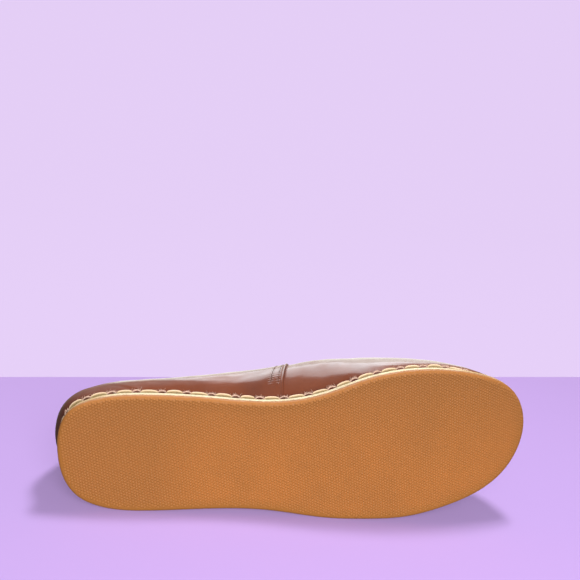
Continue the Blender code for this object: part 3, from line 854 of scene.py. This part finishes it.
class SHOE_OT_tread(bpy.types.Operator):
    """The fine moulded tread: low studs on a turned hexagonal grid"""

    bl_idname = "shoe.tread"
    bl_label = "Tread"

    def execute(self, context):
        s = sizes()
        spacing = s.tread_spacing
        column, row = np.meshgrid(np.arange(-110, 111), np.arange(-60, 61))
        along = column.ravel() * spacing * math.sqrt(0.75)
        across = (row.ravel() + 0.5 * (column.ravel() % 2)) * spacing
        cosine, sine = math.cos(s.tread_turn), math.sin(s.tread_turn)
        turn = np.array([[cosine, sine], [-sine, cosine]])
        spots = np.column_stack([along, across]) @ turn + (SOLE_LENGTH / 2, 0.0)
        inside, out = distance_inside(spots)
        kept = inside > s.tread_rim * (0.68 + 0.32 * out[:, 1])
        spots, inside, out = spots[kept], inside[kept], out[kept]
        flat = np.zeros(len(spots))
        sine = np.clip(1 - inside / OUTSOLE_ROUNDING, 0, 1)[:, None]
        cosine = np.sqrt(1 - sine**2)
        slope = (bend(spots[:, 0] + 0.001) - bend(spots[:, 0] - 0.001)) / 0.002
        down = unit(np.column_stack([slope, flat, flat - 1]))
        down = down * cosine + np.column_stack([out * sine, flat])
        ahead = unit(np.cross([0.0, 1.0, 0.0], down))
        frames = np.stack([ahead, np.cross(down, ahead), down], axis=1)
        points, faces = small_shape(self.stud)
        points = points * (spacing, spacing, s.tread_height + STUD_SUNK) - (0, 0, STUD_SUNK)
        rise = OUTSOLE_ROUNDING * (1 - cosine[:, 0])
        centres = np.column_stack([spots, bend(spots[:, 0]) + rise])
        rim = np.repeat(rim_share(inside), len(points))
        tip = np.tile(points[:, 2] > 0, len(centres)).astype(float)
        shape = repeated(points, faces, centres, frames)
        piece = new_piece("fine_tread", *shape, {"rim": rim, "tip": tip})
        dress(piece, bpy.data.objects["gum_outsole"].active_material, 75.0)
        return {"FINISHED"}

    @staticmethod
    def stud():
        """A six-sided stud with a flat top, one spacing wide and one unit high."""
        bpy.ops.mesh.primitive_cone_add(
            vertices=6, radius1=0.50, radius2=0.22, depth=1.0, location=(0, 0, 0.5)
        )
        bpy.ops.object.transform_apply(location=True)


class SHOE_OT_midsole(bpy.types.Operator):
    """The midsole, whose cut edge shows as a pale line"""

    bl_idname = "shoe.midsole"
    bl_label = "Midsole"

    def execute(self, context):
        piece = copy_of_node("midsole", "leather_midsole")
        dress(piece, cut_leather(), replaced=("midsole",))
        return {"FINISHED"}


class SHOE_OT_insole(bpy.types.Operator):
    """The insole board"""

    bl_idname = "shoe.insole"
    bl_label = "Insole"

    def execute(self, context):
        piece = copy_of_node("insole", "insole_board")
        dress(piece, insole_leather(), replaced=("insole",))
        return {"FINISHED"}


def pillow_variation():
    """Small differences from pillow to pillow: fullness, skew and width, between the holes."""
    draw = np.random.default_rng(PILLOW_SEED)
    return draw.uniform(0.72, 1.12, (3, STITCHES)) - [[0.0], [0.92], [0.0]]


def side_overhang(shares):
    """How far the pillows stand out past the sole: full on the inner side, none on the outer."""
    inward = -outline_normals(shares)[:, 1]
    toe = np.clip((np.mod(shares, 1.0) - 0.375) / 0.055, 0, 1) * (inward > 0)
    return sizes().overhang * np.clip(0.15 + 1.1 * inward - 3.0 * toe, -2.0, 1)


class SHOE_OT_welt(bpy.types.Operator):
    """The welt: a leather strip whose rolled lip rises in a pillow between the stitch holes"""

    bl_idname = "shoe.welt"
    bl_label = "Welt"

    def execute(self, context):
        s = sizes()
        full, skew, wide = pillow_variation()
        columns = STITCHES * PILLOW_STEPS
        index = np.arange(columns)
        pillow = index // PILLOW_STEPS
        phase = (index % PILLOW_STEPS) / PILLOW_STEPS
        shares = (index / PILLOW_STEPS + STITCH_START) / STITCHES
        reach = 0.5 - s.hole_length / STITCH_PITCH / 2 * wide[pillow]
        centred = (phase - 0.5 - 0.3 * skew[pillow] * np.sin(math.pi * phase) ** 2) / reach
        arc = np.clip(1 - np.abs(centred) ** 2.6, 0, 1) ** 0.7
        hole = np.clip((np.abs(centred) - 0.86) / 0.16, 0, 1)
        lip = s.lip_radius * (0.45 + 0.55 * arc)
        top = s.hole_height + (s.pillow_height - s.hole_height) * arc * (0.45 + 0.55 * full[pillow])
        centre = top - lip
        out = side_overhang(shares) * (0.35 + 0.75 * full[pillow]) * arc
        inset = 0.0001 + lip + 0.0018 * hole - out
        recess = inset + 0.0003 + 0.0001 * arc
        level = np.ones(columns)
        under = UPPER_LEVEL - WELT_LEVEL - 0.0002
        behind = np.minimum(np.maximum(top - 0.0006, s.hole_height), under)
        profile = [
            # inset, height, how much of the lip's colour
            (level * WELT_DEPTH, 0.0, 0.0),
            (inset + 0.0002, 0.0, 0.0),
            (recess, 0.12 * centre, 0.0),
            (recess, 0.72 * centre - 0.3 * lip, 0.0),
        ]
        for turn in np.radians([-70, -35, 0, 35, 70, 105]):
            height = centre + lip * math.sin(turn)
            profile.append((inset - lip * math.cos(turn), height, 1.0))
        profile += [
            (0.0030 + lip, behind, 0.35),
            (level * 0.0042, level * under, 0.0),
            (level * WELT_DEPTH, level * under, 0.0),
        ]
        rings = [rim_points(shares, inward, WELT_LEVEL + height) for inward, height, _ in profile]
        # hole: where the painted shade of a stitch hole goes; lip: how much of the lip's colour,
        # fading into the olive painted shade towards each hole
        lips = np.concatenate([value * (1 - hole) * (0.7 + 0.3 * arc) for _, _, value in profile])
        numbers = {"lip": lips, "hole": np.tile(hole, len(profile))}
        shape = (np.vstack(rings), grid_faces(len(profile), columns, True))
        finished("stitched_welt", shape, welt_leather(), 60.0, numbers, ("welt",))
        return {"FINISHED"}


class SHOE_OT_cord(bpy.types.Operator):
    """The sewing cord over each stitch hole, and the loose fibres round it"""

    bl_idname = "shoe.cord"
    bl_label = "Cord and fibres"

    def execute(self, context):
        s = sizes()
        draw = np.random.default_rng(FIBRE_SEED)
        cords, fibres = [], []
        steps, t = np.linspace(-1, 1, 9), np.linspace(0, 1, 4)
        half = 0.62 * s.hole_length / OUTLINE.length
        for stitch in range(STITCHES):
            centre = (stitch + STITCH_START) / STITCHES
            out = float(side_overhang(np.array([centre]))[0]) * 0.6
            height = WELT_LEVEL + 0.0019 + 0.0009 * (1 - steps**2) * draw.uniform(0.8, 1.2)
            inset = 0.0003 - out + 0.0009 * steps**2
            path = rim_points(centre + steps * half, inset, height)
            cords.append(tube(path, s.cord_radius * (1 - 0.25 * steps**2), 8))
            for _ in range(FIBRES_PER_STITCH):
                offset = draw.normal(0, 0.42) * s.hole_length
                reach = s.fibre_length * draw.uniform(0.35, 1.15)
                slide = draw.uniform(-0.5, 0.5) * reach * t**2
                start = centre + (offset + slide) / OUTLINE.length
                rise = draw.uniform(0.0020, 0.0034) + reach * (0.9 * t - 0.15 * t**2)
                inward = 0.0005 - out + 0.0004 * t - draw.uniform(0.0, 0.7) * reach * t
                path = rim_points(start, inward, WELT_LEVEL + rise)
                if to_world(path)[:, 2].min() > 2 * s.fibre_radius:
                    fibres.append(tube(path, s.fibre_radius * (1.15 - t), 3))
        sewn = thread_finish("cord", "fibre", 1200.0, 0.65)
        finished("sewing_cord", joined(cords), sewn)
        loose = thread_finish("loose_fibre", "fibre", 800.0, 0.7)
        finished("loose_fibres", joined(fibres), loose)
        return {"FINISHED"}


def seam_height(behind):
    """How far the wall stands out at a distance behind the nearest seam's folded edge."""
    places, heights = np.array(SEAM_PROFILE).T
    return np.interp(behind, places, heights)


def behind_seam(shares):
    """Distance behind the nearer seam's edge, negative on the vamp."""
    inner = (INNER_SEAM - np.mod(shares, 1.0)) * OUTLINE.length
    outer = (np.mod(shares, 1.0) - OUTER_SEAM) * OUTLINE.length
    return np.where(np.mod(shares, 1.0) > 0.5, outer, inner)


def upper_columns():
    """Places round the wall, close together at the two seams."""
    near = np.concatenate([np.arange(-0.0006, 0.0034, 0.00010), [0.0038, 0.0044, 0.0052]])
    near = near / OUTLINE.length
    inner, outer = INNER_SEAM - near[::-1], OUTER_SEAM + near
    quarter = np.linspace(outer[-1] - 1, inner[0], 200)[1:-1]
    vamp = np.linspace(inner[-1], outer[0], 200)[1:-1]
    return np.concatenate([outer - 1, quarter, inner, vamp])


def leather_relief(shares, climbs):
    """Creases and gentle unevenness of the leather, as an outward distance."""
    relief = np.zeros(len(shares))
    for around, climb, wide, tall, lean, depth in CREASES:
        away = np.mod(shares - around + 0.5, 1.0) - 0.5
        up = (climbs - climb + lean * away) / tall
        relief -= depth * np.exp(-((away / wide) ** 2)) * np.exp(-(up**2))
    angle = 2 * math.pi * shares
    relief += 0.00009 * np.sin(23 * angle + 5 * climbs) * np.sin(9 * climbs + 3 * np.sin(angle * 4))
    relief += 0.00005 * np.sin(53 * angle - 9 * climbs) * np.sin(17 * climbs + 2)
    fade = np.clip(climbs / 0.05, 0, 1) * np.clip((1 - climbs) / 0.10, 0, 1)
    return relief * fade


def climb_lengths(share, levels):
    """Length walked up the wall to each level, at a share of the way round."""
    line = wall_points(slanted(np.full(len(levels), share), levels), levels)
    return np.append(0, np.cumsum(np.linalg.norm(np.diff(line, axis=0), axis=1)))


def ramp(value, start, width):
    """From 0 at the start to 1 a width further on."""
    return np.clip((value - start) / width, 0, 1)


class SHOE_OT_upper(bpy.types.Operator):
    """The leather upper, with its folded side seams, creases and a turned collar edge"""

    bl_idname = "shoe.upper"
    bl_label = "Upper"

    def execute(self, context):
        shares = upper_columns()
        behind = behind_seam(shares)
        stands = seam_height(behind)
        climbs = np.linspace(0, 1, 73) ** 1.15
        inner, outer = (climb_lengths(seam, climbs)[:, None] for seam in (INNER_SEAM, OUTER_SEAM))
        walked = np.where(shares > 0.5, outer, inner)
        rings, darks, lengths, heights = [], [], [], []

        def add(climb, offset, dark, height, length_up, outside=False, onward=None):
            rings.append(self.ring(shares, climb, offset, outside, onward))
            darks.append(dark)
            heights.append(height)
            lengths.append(length_up)

        for climb, length_up in zip(climbs, walked):
            # Darker towards the sole and towards the collar's edge
            dark = max(0.0, 1 - climb / 0.07) * 0.6 + max(0.0, (climb - 0.94) / 0.06) * 0.4
            lip = COLLAR_LIP * ramp(climb, 0.955, 0.03)
            add(climb, stands + lip, dark, climb, length_up, True)
        thickness = WALL_THICKNESS + stands + COLLAR_LIP
        for turn in np.linspace(0, math.pi, 8)[1:-1]:
            offset = stands + COLLAR_LIP - thickness / 2 * (1 - math.cos(turn))
            onward = thickness / 2 * math.sin(turn)
            add(1.0, offset, 0.5, 1.0, walked[-1], onward=onward)
        for climb in np.linspace(1, 0, 25):
            add(climb, np.full(len(shares), -WALL_THICKNESS), 0.35, 1.0, walked[-1])
        shape = (np.vstack(rings), grid_faces(len(rings), len(shares), True))
        numbers = self.shading(shares, behind, np.array(heights)[:, None], np.array(darks)[:, None])
        numbers["along"] = np.array(lengths)
        finished("leather_upper", shape, polished_leather(), 60.0, numbers, ("upper",))
        return {"FINISHED"}

    @staticmethod
    def shading(shares, behind, heights, darks):
        """Where the leather is darker, with painted shadow at each seam's folded edge, and where it
        is dull or sewn, as numbers on its points.
        """
        nearest = np.minimum(np.mod(shares, 1), 1 - np.mod(shares, 1))
        heel = 0.75 * np.exp(-((nearest / 0.06) ** 2))
        # fold: the dark band at each seam's folded edge, partly the edge's own dark colour and
        # partly painted shadow of the step down to the vamp
        fold = np.clip(1.6 - np.abs(behind + 0.0004) / 0.0005, 0, 1)
        groove = np.clip(1.5 - np.abs(behind - 0.0020) / 0.0006, 0, 1)
        sewn = ramp(heights, 0.12, 0.10)
        edge = 0.41 - 1.5 * np.clip(nearest - 0.11, 0, 0.06)
        quarter_foot = ramp(0.185 - nearest, 0, 0.03) * ramp(edge - heights, 0, 0.06)
        toe_foot = ramp(nearest, 0.31, 0.03) * ramp(0.18 - heights, 0, 0.05)
        back = ramp(0.085 - nearest, 0, 0.018)
        dull = np.maximum(np.maximum(quarter_foot, toe_foot), back)
        return {
            # Darker leather: near the sole, at the collar's edge, inside and at the heel, and
            # painted shadow at each seam's fold
            "burnish": np.maximum(darks, np.maximum(heel, 0.55 * fold * sewn)),
            "behind": np.tile(np.clip(behind, -0.02, 0.03), len(heights)),
            "dull": np.clip(np.maximum(dull, np.maximum(0.75 * groove, fold) * sewn), 0, 1),
            "sewn": ramp(heights, 0.13, 0.05) * np.ones(len(shares)),
        }

    @staticmethod
    def ring(shares, climb, offset, outside, onward):
        """One ring of the wall, moved out by the offset and on past the collar's edge."""
        levels = np.full(len(shares), climb)
        leaning = slanted(shares, climb)
        points = wall_points(leaning, levels)
        if outside:
            offset = offset + leather_relief(leaning, levels)
        moved = points + wall_normals(leaning, levels) * np.reshape(offset, (-1, 1))
        if onward is not None:
            ahead = unit(points - wall_points(leaning, levels - NORMAL_STEP))
            moved += ahead * np.reshape(onward, (-1, 1))
        if climb == 0:
            moved[:, 2] = bend(moved[:, 0]) + UPPER_LEVEL
        return moved


class SHOE_OT_seam_stitches(bpy.types.Operator):
    """Two rows of pinholes and stitches behind each side seam's folded edge"""

    bl_idname = "shoe.seam_stitches"
    bl_label = "Seam stitches"

    def execute(self, context):
        s = sizes()
        stitches, centres, frames = [], [], []
        levels = np.linspace(0.15, 0.955, 400)
        for seam, forward in ((INNER_SEAM, 1), (OUTER_SEAM, -1)):
            walked = climb_lengths(seam, levels)
            for row in (s.near_row, s.far_row):
                share = seam - forward * row / OUTLINE.length
                starts = np.arange(s.pinhole_pitch, walked[-1], s.pinhole_pitch)
                climbs = np.interp(starts, walked, levels)
                spots, out = self.surface(share, climbs, 0.00002)
                centres.append(spots)
                along = unit(np.cross(out, [0, 0, 1.0]))
                frames.append(np.stack([along, np.cross(out, along), out], axis=1))
                for start in starts[:-1]:
                    ends = start + np.array([0.10, 0.28, 0.5, 0.72, 0.90]) * s.pinhole_pitch
                    sunk = np.array([-0.00022, -0.00004, 0.00002, -0.00004, -0.00022])
                    path, _ = self.surface(share, np.interp(ends, walked, levels), sunk)
                    stitches.append(tube(path, s.thread_radius * np.ones(5), 5))
        sewn = thread_finish("seam_thread", "thread", 1500.0, 0.55)
        finished("seam_stitches", joined(stitches), sewn)
        # Pinholes: small dark dimples in the shade colour, painted shade inside each hole
        points, faces = small_shape(self.dimple)
        points = points * (s.pinhole_radius, s.pinhole_radius, 0.25 * s.pinhole_radius)
        placed = repeated(points, faces, np.vstack(centres), np.vstack(frames))
        finished("pinholes", placed, thread_finish("pinhole", "shade", 900.0, 0.9))
        return {"FINISHED"}

    @staticmethod
    def dimple():
        """A small ball of few faces."""
        bpy.ops.mesh.primitive_ico_sphere_add(subdivisions=1, radius=1.0, location=(0, 0, 0))

    @staticmethod
    def surface(share, levels, out):
        """Points and outward directions of the leather's surface at a share of the way round."""
        shares = np.full(len(levels), share)
        leaning = slanted(shares, levels)
        stands = seam_height(behind_seam(shares)) + leather_relief(leaning, levels) + out
        outward = wall_normals(leaning, levels)
        return wall_points(leaning, levels) + outward * stands[:, None], outward


def camera_axes():
    """The camera's place and its right, up and back directions in the world."""
    ahead = unit(np.array(CAMERA_AHEAD) @ AXES)
    right = np.array(CAMERA_RIGHT) @ AXES
    right = unit(right - ahead * right.dot(ahead))
    return to_world(CAMERA_PLACE), right, np.cross(right, ahead), -ahead


def floor_point(column, row):
    """The point of the floor that the camera sees at a pixel of the picture."""
    place, right, up, back = camera_axes()
    half = FRAME_PIXELS / 2
    ray = right * (column - half) - up * (row - half) - back * CAMERA_FOCAL
    return place - ray * place[2] / ray[2]


class SHOE_OT_stage(bpy.types.Operator):
    """Floor paper, sweep, soft lights and the camera"""

    bl_idname = "shoe.stage"
    bl_label = "Stage"

    def execute(self, context):
        self.paint(self.paper(), 0.64, 0.24)
        self.paint(self.sweep(), 0.03, 1.0)
        for row in LIGHTS:
            self.light(*row)
        world = bpy.data.worlds.new("studio")
        context.scene.world = world
        world.use_nodes = True
        background = world.node_tree.nodes["Background"]
        background.inputs["Color"].default_value = (1.0, 0.96, 0.92, 1.0)
        background.inputs["Strength"].default_value = 0.22
        context.scene.view_settings.view_transform = "Standard"
        self.camera(context)
        return {"FINISHED"}

    @staticmethod
    def paint(ground, lit, glow):
        """Paints the paper or the sweep, and keeps its light off the shoe."""
        ground.data.materials.append(stage_paint(ground.name, lit, glow))
        ground.visible_diffuse = ground.visible_glossy = False

    @staticmethod
    def paper():
        """The sheet on the floor, whose far edge is level in the picture."""
        left, right = floor_point(0, PAPER_EDGE_ROW), floor_point(FRAME_PIXELS, PAPER_EDGE_ROW)
        along = (right - left) / np.linalg.norm(right - left)
        middle = (left + right) / 2
        near = np.cross(along, [0, 0, 1.0])
        corners = [middle - along * 1.6, middle + along * 1.6]
        corners += [corners[1] + near * 2.4, corners[0] + near * 2.4]
        mesh = bpy.data.meshes.new("floor_paper")
        mesh.from_pydata([tuple(corner) for corner in corners], [], [(3, 2, 1, 0)])
        return new_object("floor_paper", mesh)

    @staticmethod
    def sweep():
        """The pale floor that curves up behind into a backdrop."""
        deselect()
        bpy.ops.mesh.primitive_plane_add(size=6.0, location=(0.0, -0.8, -0.0006))
        sweep = bpy.context.object
        sweep.name = "studio_sweep"
        bpy.ops.object.transform_apply(location=True)
        shape = bmesh.new()
        shape.from_mesh(sweep.data)
        far = [edge for edge in shape.edges if all(vert.co.y > 2.0 for vert in edge.verts)]
        raised = bmesh.ops.extrude_edge_only(shape, edges=far)["geom"]
        raised = [part for part in raised if isinstance(part, bmesh.types.BMVert)]
        bmesh.ops.translate(shape, vec=(0, 0, 3.0), verts=raised)
        corner = [edge for edge in shape.edges if len(edge.link_faces) == 2]
        bmesh.ops.bevel(shape, geom=corner, offset=1.2, segments=16, affect="EDGES", profile=0.5)
        shape.to_mesh(sweep.data)
        shape.free()
        bpy.ops.object.shade_smooth()
        return sweep

    @staticmethod
    def light(name, place, aim, size, power, hue, matte, glossy):
        """A rectangular soft light turned towards its aim, unseen itself."""
        data = bpy.data.lights.new(name, "AREA")
        data.shape = "RECTANGLE"
        data.size, data.size_y = size
        data.energy = power
        data.color = hue
        lamp = new_object(name, data)
        lamp.location = place
        lamp.rotation_euler = (Vector(aim) - Vector(place)).to_track_quat("-Z", "Y").to_euler()
        lamp.visible_camera = False
        lamp.visible_diffuse = matte
        lamp.visible_glossy = glossy

    @staticmethod
    def camera(context):
        """The camera at the photograph's angle."""
        place, right, up, back = camera_axes()
        data = bpy.data.cameras.new("camera")
        data.sensor_width = SENSOR_WIDTH
        data.lens = CAMERA_FOCAL / FRAME_PIXELS * SENSOR_WIDTH
        data.clip_start = 0.01
        camera = new_object("camera", data)
        turn = Matrix([list(right), list(up), list(back)]).transposed()
        camera.rotation_euler = turn.to_euler()
        camera.location = Vector(place)
        context.scene.camera = camera


PIECES = (
    SHOE_OT_outsole,
    SHOE_OT_tread,
    SHOE_OT_midsole,
    SHOE_OT_welt,
    SHOE_OT_cord,
    SHOE_OT_insole,
    SHOE_OT_upper,
    SHOE_OT_seam_stitches,
    SHOE_OT_stage,
)


class SHOE_PT_pieces(bpy.types.Panel):
    """Lists the shoe's pieces"""

    bl_idname = "SHOE_PT_pieces"
    bl_label = "Slip-on shoe"
    bl_space_type = "VIEW_3D"
    bl_region_type = "UI"
    bl_category = "Shoe"

    def draw(self, context):
        for piece in PIECES:
            self.layout.operator(piece.bl_idname)
        for group in (context.scene.shoe_sizes, context.scene.shoe_colours):
            for key in group.bl_rna.properties.keys():
                if key not in ("rna_type", "name"):
                    self.layout.prop(group, key)


CLASSES = (ShoeSizes, ShoeColours, *PIECES, SHOE_PT_pieces)


def register():
    """Adds the classes and the scene's settings."""
    for item in CLASSES:
        bpy.utils.register_class(item)
    bpy.types.Scene.shoe_sizes = bpy.props.PointerProperty(type=ShoeSizes)
    bpy.types.Scene.shoe_colours = bpy.props.PointerProperty(type=ShoeColours)


def unregister():
    """Takes them away again."""
    del bpy.types.Scene.shoe_colours
    del bpy.types.Scene.shoe_sizes
    for item in reversed(CLASSES):
        bpy.utils.unregister_class(item)


def main():
    """Makes every piece and the stage."""
    register()
    for piece in PIECES:
        group, operator = piece.bl_idname.split(".")
        getattr(getattr(bpy.ops, group), operator)()


if __name__ == "__main__":
    main()
